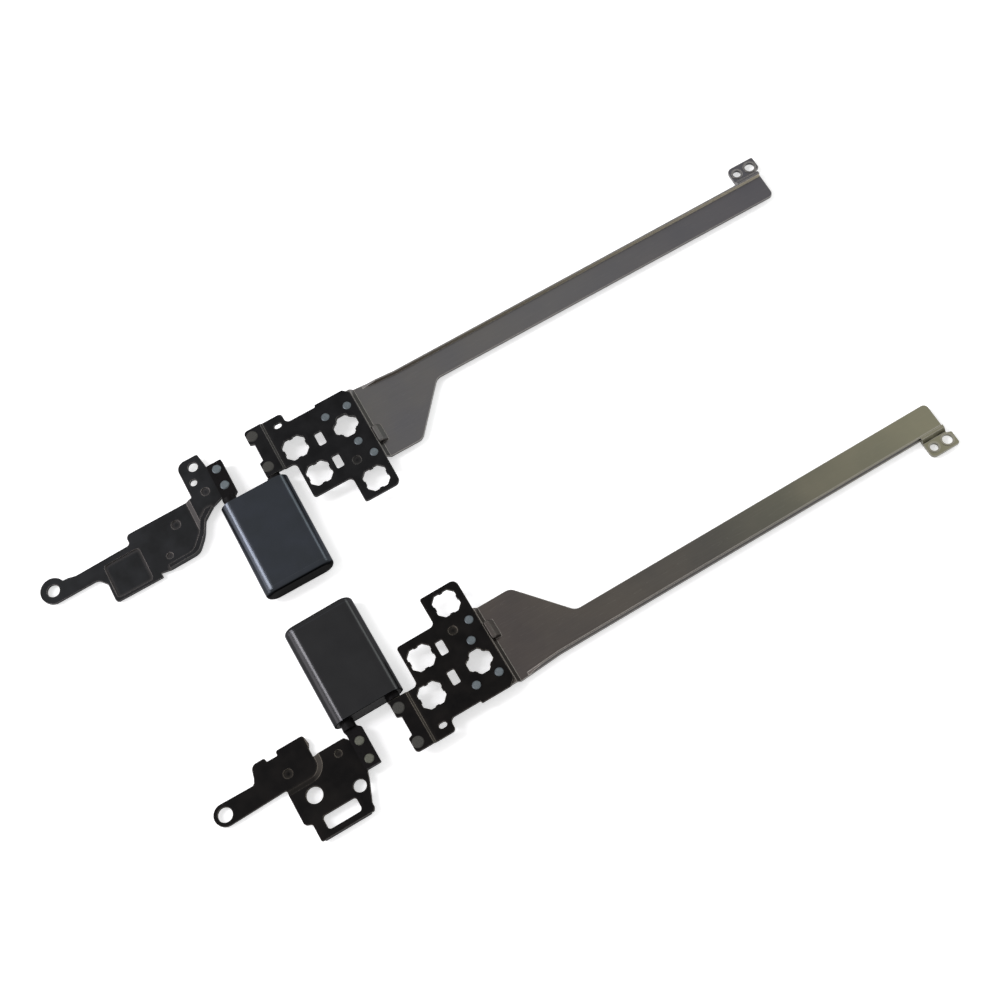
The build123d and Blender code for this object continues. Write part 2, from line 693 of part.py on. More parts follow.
def make_right_base_bracket():
    tail_left = -base_tail_inner
    knob_left, knob_right, knob_front = right_knob
    pad_left, pad_right, pad_front = right_pad
    full = outline([
        (right_ring[0], right_ring[1] - right_ring_radius, 0), (right_plate_left, right_finger_back, 0.6),
        (right_plate_left, right_plate_back, 1.0), (right_frame_left, right_plate_back - 0.6, 0.8),
        (right_frame_left, right_frame_back, 0.4), (right_frame_right, right_frame_back, 0.4),
        (right_frame_right + 0.5, right_frame_back + 0.8, 0.3),
        (right_frame_right + 0.5, right_frame_back + 1.9, 0.5), (tail_left - 0.3, right_neck_back - 1.0, 1.0),
        (tail_left + 0.3, -base_tail_end + 0.2, min_round), (base_bracket_right, -base_tail_end + 0.2, min_round),
        (base_bracket_right, base_tail_shoulder - 1.0, min_round),
        (tail_left, base_tail_shoulder - 1.0, 0.3), (tail_left - 1.0, right_notch_front, 0.6),
        (pad_right - 0.2, right_notch_front, 0.4),
        (pad_right - 0.2, right_notch_front + 2.3, 0.5), (pad_right + 0.4, right_notch_front + 3.4, 0.5),
        (pad_right, pad_front, 0.9),
        (pad_left, pad_front, 0.7), (pad_left, right_pad_gap_front, 0.3),
        (knob_right, right_pad_gap_front, 0.3), (knob_right, knob_front, 0.8),
        (knob_left + 0.8, knob_front, 1.6), (knob_left, right_finger_front + 1.4, 1.2),
        (knob_left - 0.6, right_finger_front, 1.2), (right_ring[0], right_ring[1] + right_ring_radius, 0)])
    low = outline([(2 * right_ring[0], right_step_back, 0),
                   (right_step_right, right_step_back, right_step_radius),
                   (right_step_right, 3 * pad_front, 0), (2 * right_ring[0], 3 * pad_front, 0)])
    bracket = make_base_bracket(full, low, right_step_run, right_ring, right_ring_radius, right_ring_bore,
                                right_holes, right_dimples, right_step_right)
    x0, y0, x1, y1 = right_window
    window = outline([(x0, y0, 0.8), (x1, y0, 0.8), (x1, y1, 0.8), (x0, y1, 0.8)])
    bracket -= extrude(Pos(0, 0, base_top - 2 * bracket_sheet) * window, 4 * bracket_sheet)
    rim = sheet([(right_frame_left + 0.8, right_frame_back, 0), (right_frame_right - 0.8, right_frame_back, 0),
                 (right_frame_right - 0.8, right_frame_back + bracket_sheet, 0),
                 (right_frame_left + 0.8, right_frame_back + bracket_sheet, 0)],
                base_top - bracket_sheet - right_flange, bracket_sheet + right_flange)
    return Pos(base_axis_x, 0, 0) * (bracket + rim)


# The pair

def hinge_parts(base_bracket):
    """Every piece of one hinge, by plain name."""
    idler_near, idler_far = idler_places()
    return {
        "cover": [make_cover()],
        "end_cap": [make_end_cap()],
        "end_plate": [make_end_plate()],
        "mid_plate": [make_mid_plate()],
        "friction_plates": make_friction_plates(),
        "lid_shaft": [make_lid_shaft()],
        "base_shaft": [make_base_shaft()],
        "lid_gear": [make_shaft_gear(0, False)],
        "idler_gear_1": [make_idler(idler_near, True)],
        "idler_gear_2": [make_idler(idler_far, False)],
        "base_gear": [make_shaft_gear(base_axis_x, True)],
        "lid_friction_washers": make_friction_washers(0),
        "base_friction_washers": make_friction_washers(base_axis_x),
        "lid_spring_washers": make_spring_washers(0),
        "base_spring_washers": make_spring_washers(base_axis_x),
        "lid_nut": [make_nut(0)],
        "base_nut": [make_nut(base_axis_x)],
        "lid_bracket": [make_lid_bracket()],
        "lid_arm": [make_arm()],
        "base_bracket": [base_bracket],
        "lid_tail_rivets": make_lid_tail_rivets(),
        "base_tail_rivets": make_base_tail_rivets(),
        "arm_rivets": make_arm_rivets(),
    }


def laid_left(shape):
    return shape.mirror(Plane.XZ)


def laid_right(shape):
    return Pos(lie_shift, -lie_gap, 0) * Rot(0, 0, lie_turn) * shape


def make_pair():
    pair = {}
    for name, solids in hinge_parts(make_left_base_bracket()).items():
        pair["left_" + name] = [laid_left(solid) for solid in solids]
    for name, solids in hinge_parts(make_right_base_bracket()).items():
        pair["right_" + name] = [laid_right(solid) for solid in solids]
    return pair


def single_solids(shapes):
    return [solid for shape in shapes for solid in shape.solids()]


def main():
    os.makedirs("parts", exist_ok=True)
    pair = {name: Compound(children=single_solids(shapes)) for name, shapes in make_pair().items()}
    box = Compound(children=list(pair.values())).bounding_box()
    middle = box.center()
    for name, node in pair.items():
        node.parent = None
        export_step(Pos(-middle.X, -middle.Y, -box.min.Z) * node, "parts/" + name + ".step")
    print("size", box.size, "moved", -middle.X, -middle.Y, -box.min.Z)


main()
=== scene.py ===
import math

import bpy
from mathutils import Matrix, Vector


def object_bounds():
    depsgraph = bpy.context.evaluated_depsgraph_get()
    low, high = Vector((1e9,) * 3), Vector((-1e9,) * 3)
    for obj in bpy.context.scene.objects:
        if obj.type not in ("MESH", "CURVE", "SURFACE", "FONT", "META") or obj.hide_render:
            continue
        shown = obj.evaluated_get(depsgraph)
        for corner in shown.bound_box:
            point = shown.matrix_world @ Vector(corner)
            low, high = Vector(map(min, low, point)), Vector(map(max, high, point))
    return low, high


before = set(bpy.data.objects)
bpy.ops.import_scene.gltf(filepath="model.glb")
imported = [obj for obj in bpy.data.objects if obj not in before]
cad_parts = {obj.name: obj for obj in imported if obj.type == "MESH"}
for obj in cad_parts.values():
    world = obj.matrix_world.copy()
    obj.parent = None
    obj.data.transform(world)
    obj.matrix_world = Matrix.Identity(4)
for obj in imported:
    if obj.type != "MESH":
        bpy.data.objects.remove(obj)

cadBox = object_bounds()
print("frame loaded,", len(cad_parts), "nodes")

mm = 0.001


def hexColour(code):
    # sRGB hex to the linear values that sockets take
    parts = [int(code[i:i + 2], 16) / 255 for i in (0, 2, 4)]
    linear = [c / 12.92 if c <= 0.04045 else ((c + 0.055) / 1.055) ** 2.4 for c in parts]
    return (*linear, 1.0)


def setStops(ramp, stops):
    # a stop is its place and its tone, which is a hex colour or a plain grey value
    while len(ramp.elements) < len(stops):
        ramp.elements.new(0.5)
    for element, (place, tone) in zip(ramp.elements, stops):
        element.position = place
        element.color = hexColour(tone) if isinstance(tone, str) else (tone, tone, tone, 1.0)


def addNode(tree, kind, settings=None, links=None):
    # a setting goes to the ramp, to the socket of that name or number, or else to the node itself
    node = tree.nodes.new(kind)
    for key, value in (settings or {}).items():
        if key == "stops":
            setStops(node.color_ramp, value)
        elif isinstance(key, int) or key in node.inputs:
            node.inputs[key].default_value = value
        else:
            setattr(node, key, value)
    for key, source in (links or {}).items():
        tree.links.new(source, node.inputs[key])
    return node


def newMaterial(name):
    material = bpy.data.materials.new(name)
    material.use_nodes = True
    material.node_tree.nodes.clear()
    return material, material.node_tree


def closeMaterial(tree, settings, links):
    shader = addNode(tree, "ShaderNodeBsdfPrincipled", settings, links)
    addNode(tree, "ShaderNodeOutputMaterial", links={"Surface": shader.outputs["BSDF"]})


# Edges and bends, read from how well a normal rounded over within reach agrees with the real one:
# 1 is fully, so away from any edge
rounding = {
    "samples": 6,
    "edge": [(0.88, 1), (0.995, 0)],                           # every edge
    "bend": [(0.90, 0), (0.94, 1), (0.985, 1), (0.998, 0)],    # shallow bends, but no cut edge
}


def roundedNormal(tree, reach, stops):
    # the rounded normal, and grey by how well it agrees
    rounded = addNode(tree, "ShaderNodeBevel",
                      {"samples": rounding["samples"], "Radius": reach}).outputs["Normal"]
    real = addNode(tree, "ShaderNodeNewGeometry").outputs["Normal"]
    agreement = addNode(tree, "ShaderNodeVectorMath", {"operation": "DOT_PRODUCT"},
                        {0: rounded, 1: real}).outputs["Value"]
    mask = addNode(tree, "ShaderNodeValToRGB", {"stops": stops}, {"Fac": agreement})
    return rounded, mask.outputs["Color"]


def facingUp(tree, stops):
    # grey by how squarely the surface faces up: 1 is level, 0 is a side wall
    normal = addNode(tree, "ShaderNodeNewGeometry").outputs["Normal"]
    upward = addNode(tree, "ShaderNodeSeparateXYZ", links={"Vector": normal}).outputs["Z"]
    return addNode(tree, "ShaderNodeValToRGB", {"stops": stops}, {"Fac": upward}).outputs["Color"]


def facingAlong(tree, normal, stops):
    # grey by how much a normal leans along the arms, either way: 0 is upright or across them
    lean = addNode(tree, "ShaderNodeSeparateXYZ", links={"Vector": normal}).outputs["X"]
    amount = addNode(tree, "ShaderNodeMath", {"operation": "ABSOLUTE"}, {0: lean}).outputs[0]
    return addNode(tree, "ShaderNodeValToRGB", {"stops": stops}, {"Fac": amount}).outputs["Color"]


def facingTowards(tree, direction, stops):
    # grey by how much the surface faces a direction: 0 is straight away from it, 1 straight at it
    normal = addNode(tree, "ShaderNodeNewGeometry").outputs["Normal"]
    lean = addNode(tree, "ShaderNodeVectorMath", {"operation": "DOT_PRODUCT", 1: direction},
                   {0: normal}).outputs["Value"]
    share = addNode(tree, "ShaderNodeMath", {"operation": "MULTIPLY_ADD", 1: 0.5, 2: 0.5},
                    {0: lean}).outputs[0]
    return addNode(tree, "ShaderNodeValToRGB", {"stops": stops}, {"Fac": share}).outputs["Color"]


# Cover: aluminium, bead blasted and anodised slate grey, so a satin skin with a very fine sparkle.
# Its cap is moulded nylon, sprayed with a metallic lacquer of the same tone.
cover = {
    # deep and pale over the clouding; the left and right tones are lit and shaded copies of one
    # finish, painted light for how each cover is lit
    "tones": {"left": [(0.35, "323539"), (0.7, "35383E")],
              "right": [(0.35, "2B2B2C"), (0.7, "2E2E2F")]},
    "sheen": "43454B",           # painted sheen along the edges, which are softer than on the sheets
    "edge": [(0.70, 1), (0.995, 0)], "edgeReach": 0.12 * mm,
    "edgeTint": "BEBEBF",        # reflection at grazing angles, dulled by the anodic film
    # where the bright back of the room is, and the painted shade: how bright the skin is painted
    # from facing away to facing it
    "litSide": (0.0, 0.75, 0.66),
    "shade": [(0.2, 0.03), (0.45, 0.25), (0.5, 0.75), (0.62, 1.0)],
    "roughness": [(0.3, 0.17), (0.7, 0.24)],
    "specular": 0.05,
    # blasting grit of 0.12 mm, drawn 3 times as coarse as it is so that it shows
    "grit": {"Scale": 1 / (0.12 * mm), "Detail": 2.0},
    "cloud": {"Scale": 1 / (6.0 * mm), "Detail": 3.0},      # faint clouding of the dye, 6 mm
    "bump": {"Strength": 0.10, "Distance": 0.02 * mm},
}


def satinGrey(name, side, metallic):
    material, tree = newMaterial(name + "." + side)
    place = addNode(tree, "ShaderNodeTexCoord").outputs["Object"]
    grit = addNode(tree, "ShaderNodeTexNoise", cover["grit"], {"Vector": place}).outputs["Fac"]
    cloud = addNode(tree, "ShaderNodeTexNoise", cover["cloud"], {"Vector": place}).outputs["Fac"]
    colour = addNode(tree, "ShaderNodeValToRGB", {"stops": cover["tones"][side]},
                     {"Fac": cloud}).outputs["Color"]
    # painted sheen along the edges
    edge = roundedNormal(tree, cover["edgeReach"], cover["edge"])[1]
    colour = addNode(tree, "ShaderNodeMix", {"data_type": "RGBA", 7: hexColour(cover["sheen"])},
                     {0: edge, 6: colour}).outputs[2]
    # painted shade: both the colour and the mirrored rim darken towards the dark side of the room
    light = facingTowards(tree, cover["litSide"], cover["shade"])
    darken = {"data_type": "RGBA", "blend_type": "MULTIPLY", 0: 1.0}
    colour = addNode(tree, "ShaderNodeMix", darken, {6: colour, 7: light}).outputs[2]
    tint = addNode(tree, "ShaderNodeMix", {**darken, 6: hexColour(cover["edgeTint"])},
                   {7: light}).outputs[2]
    roughness = addNode(tree, "ShaderNodeValToRGB", {"stops": cover["roughness"]},
                        {"Fac": grit}).outputs["Color"]
    normal = addNode(tree, "ShaderNodeBump", cover["bump"], {"Height": grit}).outputs["Normal"]
    closeMaterial(tree, {"Metallic": metallic, "Specular IOR Level": cover["specular"]},
                  {"Base Color": colour, "Specular Tint": tint, "Roughness": roughness,
                   "Normal": normal})
    return material


# Brackets: steel sheet, pressed and dipped in black electrocoat, so a thin dark film with a brownish
# cast, a slight orange peel, bare metal glinting where wear thins the film at the edges, and painted
# highlights on the bend lines and slopes that catch the key lamp
bracket = {
    # thick and thin film; the tones differ between the parts as painted light and shade, for how lit
    # each part is
    "tones": {"leftLid": [(0.35, "0D0D0E"), (0.7, "181819")],
              "leftBase": [(0.35, "131415"), (0.7, "1F2022")],
              "right": [(0.35, "0A0909"), (0.7, "151312")]},
    # the bare-metal tone, for edges where wear thins the film and for the painted highlights on
    # bends and slopes
    "bare": {"leftLid": "8E8B86", "leftBase": "B4ACA8", "right": "9C9488"},
    "specular": {"leftLid": 0.07, "leftBase": 0.10, "right": 0.045},
    "slope": [(0.45, 0), (0.6, 0.10), (0.9, 0.10), (0.96, 0)],    # how strong the painted highlight on the pressed slopes is
    # bend lines and slopes that lean along the arms catch the key lamp, the others hardly do
    "litBend": [(0.04, 0.12), (0.16, 1)], "litSlope": [(0.1, 0.15), (0.4, 1)],
    "edgeReach": 0.06 * mm, "bendReach": 0.22 * mm,
    # paler in pressed dimples and corners: how far the hollow reaches, and how pale it is from
    # corner to open
    "hollow": {"samples": 6, "only_local": True, "Distance": 0.9 * mm},
    "paleHollows": [(0.80, 0.08), (0.97, 0)],
    "roughness": [(0.3, 0.38), (0.7, 0.54)],
    "peel": {"Scale": 1 / (0.5 * mm), "Detail": 2.0},       # orange peel, 0.5 mm
    "cloud": {"Scale": 1 / (4.0 * mm), "Detail": 4.0},      # patches of thicker film, 4 mm
    # grain in the film, drawn at 0.15 mm, coarser than it is, and how much it thins the film
    "speck": {"Scale": 1 / (0.15 * mm), "Detail": 1.0},
    "thinned": [(0.55, 0.0), (0.75, 0.35)],
    "bump": {"Strength": 0.25, "Distance": 0.01 * mm},
}


def blackElectrocoat(part):
    material, tree = newMaterial("blackElectrocoatedSteel." + part)
    place = addNode(tree, "ShaderNodeTexCoord").outputs["Object"]
    peel = addNode(tree, "ShaderNodeTexNoise", bracket["peel"], {"Vector": place}).outputs["Fac"]
    cloud = addNode(tree, "ShaderNodeTexNoise", bracket["cloud"], {"Vector": place}).outputs["Fac"]
    speck = addNode(tree, "ShaderNodeTexNoise", bracket["speck"], {"Vector": place}).outputs["Fac"]
    film = bracket["tones"][part]
    thinTone = film[-1][1]
    colour = addNode(tree, "ShaderNodeValToRGB", {"stops": film}, {"Fac": cloud}).outputs["Color"]
    thinned = addNode(tree, "ShaderNodeValToRGB", {"stops": bracket["thinned"]},
                      {"Fac": speck}).outputs["Color"]
    colour = addNode(tree, "ShaderNodeMix", {"data_type": "RGBA", 7: hexColour(thinTone)},
                     {0: thinned, 6: colour}).outputs[2]
    # bare edges where wear thins the film, and painted highlights on lit bend lines, in patches
    edge = roundedNormal(tree, bracket["edgeReach"], rounding["edge"])[1]
    rounded, bend = roundedNormal(tree, bracket["bendReach"], rounding["bend"])
    lit = facingAlong(tree, rounded, bracket["litBend"])
    bend = addNode(tree, "ShaderNodeMath", {"operation": "MULTIPLY"}, {0: bend, 1: lit}).outputs[0]
    wearAndHighlight = addNode(tree, "ShaderNodeMath", {"operation": "MAXIMUM"}, {0: bend, 1: edge}).outputs[0]
    wearAndHighlight = addNode(tree, "ShaderNodeMath", {"operation": "MULTIPLY"}, {0: wearAndHighlight, 1: cloud}).outputs[0]
    # painted highlights on lit slopes
    slope = facingUp(tree, bracket["slope"])
    real = addNode(tree, "ShaderNodeNewGeometry").outputs["Normal"]
    lit = facingAlong(tree, real, bracket["litSlope"])
    slope = addNode(tree, "ShaderNodeMath", {"operation": "MULTIPLY"}, {0: slope, 1: lit}).outputs[0]
    # paler in pressed dimples and corners
    hollow = addNode(tree, "ShaderNodeAmbientOcclusion", bracket["hollow"]).outputs["AO"]
    paleHollows = addNode(tree, "ShaderNodeValToRGB", {"stops": bracket["paleHollows"]},
                   {"Fac": hollow}).outputs["Color"]
    for mask in (slope, paleHollows):
        wearAndHighlight = addNode(tree, "ShaderNodeMath", {"operation": "MAXIMUM"},
                       {0: wearAndHighlight, 1: mask}).outputs[0]
    # the pale tone over wear, painted highlights and pale hollows
    colour = addNode(tree, "ShaderNodeMix",
                     {"data_type": "RGBA", 7: hexColour(bracket["bare"][part])},
                     {0: wearAndHighlight, 6: colour}).outputs[2]
    roughness = addNode(tree, "ShaderNodeValToRGB", {"stops": bracket["roughness"]},
                        {"Fac": cloud}).outputs["Color"]
    normal = addNode(tree, "ShaderNodeBump", bracket["bump"], {"Height": peel}).outputs["Normal"]
    closeMaterial(tree, {"Specular IOR Level": bracket["specular"][part]},
                  {"Base Color": colour, "Roughness": roughness, "Normal": normal})
    return material


# Lid arms: stainless sheet, cold rolled and left bare, so a fine grain along the arm, a faint warm
# stain here and there and a few hair scratches
arm = {
    # tones by share of the length: at the plate, half way along and at the tip; towards the tip a
    # painted reflection pales the right arm and painted shade darkens the left, and the two sides
    # are lit and shaded copies
    "clean": {"left": [(0.1, "565557"), (0.5, "5B5A5B"), (0.95, "525155")],
              "right": [(0.1, "484341"), (0.5, "4A4946"), (0.95, "777563")]},
    "stained": {"left": [(0.1, "5B5957"), (0.5, "5F5D5C"), (0.95, "565457")],
                "right": [(0.1, "504A45"), (0.5, "524F4A"), (0.95, "7F7C68")]},
    # the upturned edge's sides, painted light and shade: pale where lit on the left and paler
    # towards the tip, dark where shaded on the right
    "lipLightAndShade": {"left": [(0.1, "5A534D"), (0.5, "98917F"), (0.95, "D6CDB6")],
               "right": [(0.1, "26211E"), (0.5, "26211E"), (0.95, "2E2A26")]},
    "bright": "A09C96",                                     # painted highlights on edges and bend lines, and the hair scratches
    "shade": [(0.0, 0.6), (0.88, 0.8), (0.92, 0.6), (0.99, 1.0)],     # painted shade, from side wall to level face, and darker on shallow slopes
    "lip": [(0.12, 0), (0.20, 1), (0.30, 1), (0.38, 0)],    # upward part of the edge's leaning sides
    "lipMetallic": [(0, 1.0), (1, 0.3)],                    # less metallic on the lip, so that its painted light and shade show in the colour
    "dull": [(0.82, 0), (0.88, 0.4), (0.95, 0.4), (0.99, 0)],         # more rough on shallow slopes
    "calm": [(0.85, 1), (0.90, 0.25), (0.96, 0.25), (0.985, 1)],      # and their lines less bright
    "edgeReach": 0.12 * mm, "bendReach": 0.22 * mm,
    "roughness": [(0.3, 0.29), (0.7, 0.34)],
    # grain 5 mm long and 0.06 mm wide, drawn 2 times as coarse as it is, and how pale its crests are
    "stretch": {"Scale": (1 / (5.0 * mm), 1 / (0.06 * mm), 1 / (0.06 * mm))},
    "grain": {"Scale": 1.0, "Detail": 3.0},
    "crest": [(0.35, 0.0), (0.7, 0.008)],
    "stain": {"Scale": 1 / (14.0 * mm), "Detail": 5.0},     # 14 mm patches
    "stainShare": [(0.35, 0), (0.65, 1)],
    # scratches 7 mm long and 0.5 mm apart, askew to the grain, and how bright a hair of them is
    "skew": {"Rotation": (0, 0, math.radians(17)),
             "Scale": (1 / (7.0 * mm), 1 / (0.5 * mm), 1 / (0.5 * mm))},
    "scratch": {"Scale": 1.0, "Detail": 0.0},
    "hair": [(0.700, 0), (0.715, 0.08), (0.73, 0)],
    "bump": {"Strength": 0.03, "Distance": 0.01 * mm},
}


def rolledSteel(side):
    material, tree = newMaterial("coldRolledStainlessSheet." + side)
    coordinates = addNode(tree, "ShaderNodeTexCoord").outputs
    place = coordinates["Object"]
    along = addNode(tree, "ShaderNodeMapping", arm["stretch"], {"Vector": place}).outputs["Vector"]
    grain = addNode(tree, "ShaderNodeTexNoise", arm["grain"], {"Vector": along}).outputs["Fac"]
    askew = addNode(tree, "ShaderNodeMapping", arm["skew"], {"Vector": place}).outputs["Vector"]
    scratch = addNode(tree, "ShaderNodeTexNoise", arm["scratch"], {"Vector": askew}).outputs["Fac"]
    hair = addNode(tree, "ShaderNodeValToRGB", {"stops": arm["hair"]},
                   {"Fac": scratch}).outputs["Color"]
    # clean and stained tones over the length, with painted light towards the tip
    share = addNode(tree, "ShaderNodeSeparateXYZ",
                    links={"Vector": coordinates["Generated"]}).outputs["X"]
    clean, stained, lipLightAndShade = (
        addNode(tree, "ShaderNodeValToRGB", {"stops": arm[state][side]}, {"Fac": share}).outputs[0]
        for state in ("clean", "stained", "lipLightAndShade"))
    stain = addNode(tree, "ShaderNodeTexNoise", arm["stain"], {"Vector": place}).outputs["Fac"]
    stain = addNode(tree, "ShaderNodeValToRGB", {"stops": arm["stainShare"]},
                    {"Fac": stain}).outputs["Color"]
    colour = addNode(tree, "ShaderNodeMix", {"data_type": "RGBA"},
                     {0: stain, 6: clean, 7: stained}).outputs[2]
    crest = addNode(tree, "ShaderNodeValToRGB", {"stops": arm["crest"]},
                    {"Fac": grain}).outputs["Color"]
    colour = addNode(tree, "ShaderNodeMix", {"data_type": "RGBA", 7: (1, 1, 1, 1)},
                     {0: crest, 6: colour}).outputs[2]
    # painted shade on the side walls and shallow slopes
    colour = addNode(tree, "ShaderNodeMix", {"data_type": "RGBA", "blend_type": "MULTIPLY", 0: 1.0},
                     {6: colour, 7: facingUp(tree, arm["shade"])}).outputs[2]
    # painted highlights on edges and bend lines, and bright hair scratches
    edge = roundedNormal(tree, arm["edgeReach"], rounding["edge"])[1]
    bend = roundedNormal(tree, arm["bendReach"], rounding["bend"])[1]
    line = addNode(tree, "ShaderNodeMath", {"operation": "MAXIMUM"}, {0: edge, 1: bend}).outputs[0]
    line = addNode(tree, "ShaderNodeMath", {"operation": "MULTIPLY"},
                   {0: line, 1: facingUp(tree, arm["calm"])}).outputs[0]
    line = addNode(tree, "ShaderNodeMath", {"operation": "MAXIMUM"}, {0: line, 1: hair}).outputs[0]
    colour = addNode(tree, "ShaderNodeMix", {"data_type": "RGBA", 7: hexColour(arm["bright"])},
                     {0: line, 6: colour}).outputs[2]
    # painted light and shade on the sides of the upturned edge
    lip = facingUp(tree, arm["lip"])
    colour = addNode(tree, "ShaderNodeMix", {"data_type": "RGBA"},
                     {0: lip, 6: colour, 7: lipLightAndShade}).outputs[2]
    metallic = addNode(tree, "ShaderNodeValToRGB", {"stops": arm["lipMetallic"]},
                       {"Fac": lip}).outputs["Color"]
    roughness = addNode(tree, "ShaderNodeValToRGB", {"stops": arm["roughness"]},
                        {"Fac": grain}).outputs["Color"]
    roughness = addNode(tree, "ShaderNodeMath", {"operation": "ADD"},
                        {0: roughness, 1: facingUp(tree, arm["dull"])}).outputs[0]
    height = addNode(tree, "ShaderNodeMath", {"operation": "SUBTRACT"},
                     {0: grain, 1: hair}).outputs[0]
    normal = addNode(tree, "ShaderNodeBump", arm["bump"], {"Height": height}).outputs["Normal"]
    closeMaterial(tree, {}, {"Base Color": colour, "Metallic": metallic, "Roughness": roughness,
                             "Normal": normal})
    return material


# Small pieces, turned, stamped or sintered, each with its own tone and tool marks
smallPieces = {
    # name: colour, paler tone, metallic, specular level, roughness low and high, mark size in mm
    "nickelPlatedRivetSteel": ("565D61", "656C70", 0.9, 0.5, 0.32, 0.45, 0.25),
    "dulledRivetSteel": ("4A4B44", "5C5D54", 0.9, 0.5, 0.35, 0.48, 0.25),
    "oxidisedRivetSteel": ("30302E", "42413D", 0.5, 0.3, 0.40, 0.55, 0.25),
    "blackPhosphatedShaftSteel": ("0B0A0A", "141213", 0.0, 0.05, 0.40, 0.55, 0.30),
    "blankedPlateSteel": ("77777A", "8A8A8C", 1.0, 0.5, 0.30, 0.42, 0.40),
    "sinteredGearSteel": ("5F5F62", "737376", 1.0, 0.5, 0.45, 0.60, 0.20),
    "oiledPhosphorBronze": ("8F6C3E", "A9834F", 1.0, 0.5, 0.28, 0.40, 0.30),
    "temperedSpringSteel": ("3E3F45", "54555B", 1.0, 0.5, 0.25, 0.36, 0.30),
    "zincPlatedNutSteel": ("8B8D90", "A0A2A4", 1.0, 0.5, 0.25, 0.38, 0.30),
}
toolMarks = {
    "detail": 3.0,
    "low": 0.3, "high": 0.7,     # the part of the noise over which tone and roughness change
    "bump": {"Strength": 0.15, "Distance": 0.01 * mm},
}


def smallPiece(name):
    code, paler, metallic, specular, smooth, rough, size = smallPieces[name]
    low, high = toolMarks["low"], toolMarks["high"]
    material, tree = newMaterial(name)
    place = addNode(tree, "ShaderNodeTexCoord").outputs["Object"]
    marks = addNode(tree, "ShaderNodeTexNoise",
                    {"Scale": 1 / (size * mm), "Detail": toolMarks["detail"]},
                    {"Vector": place}).outputs["Fac"]
    colour = addNode(tree, "ShaderNodeValToRGB", {"stops": [(low, code), (high, paler)]},
                     {"Fac": marks}).outputs["Color"]
    roughness = addNode(tree, "ShaderNodeValToRGB", {"stops": [(low, smooth), (high, rough)]},
                        {"Fac": marks}).outputs["Color"]
    normal = addNode(tree, "ShaderNodeBump", toolMarks["bump"], {"Height": marks}).outputs["Normal"]
    closeMaterial(tree, {"Metallic": metallic, "Specular IOR Level": specular},
                  {"Base Color": colour, "Roughness": roughness, "Normal": normal})
    return material


# Which finish each piece has: looked up by its full name first, then without left_ or right_
metallicOf = {"aluminium": 0.9, "nylon": 0.7}
finishes = {
    "leftCover": satinGrey("anodisedBlastedAluminium", "left", metallicOf["aluminium"]),
    "rightCover": satinGrey("anodisedBlastedAluminium", "right", metallicOf["aluminium"]),
    "leftCap": satinGrey("metallicLacqueredNylon", "left", metallicOf["nylon"]),
    "rightCap": satinGrey("metallicLacqueredNylon", "right", metallicOf["nylon"]),
    "leftLidBracket": blackElectrocoat("leftLid"),
    "leftBaseBracket": blackElectrocoat("leftBase"),
    "rightBracket": blackElectrocoat("right"),
    "leftArm": rolledSteel("left"),
    "rightArm": rolledSteel("right"),
    **{name: smallPiece(name) for name in smallPieces},
}
finishOfNode = {
    "left_cover": "leftCover", "right_cover": "rightCover",
    "left_end_cap": "leftCap", "right_end_cap": "rightCap",
    "left_lid_bracket": "leftLidBracket", "left_base_bracket": "leftBaseBracket",
    "right_lid_bracket": "rightBracket", "right_base_bracket": "rightBracket",
    "left_lid_arm": "leftArm", "right_lid_arm": "rightArm",
    "lid_shaft": "blackPhosphatedShaftSteel", "base_shaft": "blackPhosphatedShaftSteel",
    "end_plate": "blackPhosphatedShaftSteel",
    "mid_plate": "blankedPlateSteel", "friction_plates": "blankedPlateSteel",
    "lid_gear": "sinteredGearSteel", "base_gear": "sinteredGearSteel",
    "idler_gear_1": "sinteredGearSteel", "idler_gear_2": "sinteredGearSteel",
    "lid_friction_washers": "oiledPhosphorBronze", "base_friction_washers": "oiledPhosphorBronze",
    "lid_spring_washers": "temperedSpringSteel", "base_spring_washers": "temperedSpringSteel",
    "lid_nut": "zincPlatedNutSteel", "base_nut": "zincPlatedNutSteel",
    "arm_rivets": "nickelPlatedRivetSteel", "base_tail_rivets": "nickelPlatedRivetSteel",
    "lid_tail_rivets": "oxidisedRivetSteel", "right_base_tail_rivets": "dulledRivetSteel",
}
for name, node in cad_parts.items():
    part = name if name in finishOfNode else name.split("_", 1)[1]
    finish = finishes[finishOfNode[part]]
    for slot in node.material_slots:
        slot.material = finish
print("finishes given to", len(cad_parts), "nodes")


# Studio: white floor and sky, a long soft lamp high on the left and a low soft lamp on either side
studio = {
    "floorSize": 6.0,            # m
    "floorColour": "F2F2F2", "floorGlow": 0.5,
    "skyWhite": 1.0, "skyFill": 0.55,     # as the camera sees the sky, and as it lights the part
    "lamps": {
        # name: place and size in m, watts, colour
        "keyLamp": ((-0.78, 0.47, 0.92), (0.18, 0.8), 9, (0.98, 0.96, 1.0)),
        "leftLamp": ((-1.0, 0.1, 0.35), (0.9, 0.5), 4, (1.0, 0.95, 1.0)),
        "rightLamp": ((0.95, 0.39, 0.37), (0.6, 0.3), 2, (0.93, 1.0, 0.95)),
    },
}


def cameraRay(tree, otherwise, seen):
    # seen is for what the camera sees straight, mirrored or through glass, otherwise for other light
    path = addNode(tree, "ShaderNodeLightPath").outputs
    ray = path["Is Camera Ray"]
    for way in ("Is Glossy Ray", "Is Transmission Ray"):
        ray = addNode(tree, "ShaderNodeMath", {"operation": "MAXIMUM"},
                      {0: ray, 1: path[way]}).outputs[0]
    return addNode(tree, "ShaderNodeValToRGB", {"stops": [(0, otherwise), (1, seen)]},
                   {"Fac": ray}).outputs["Color"]


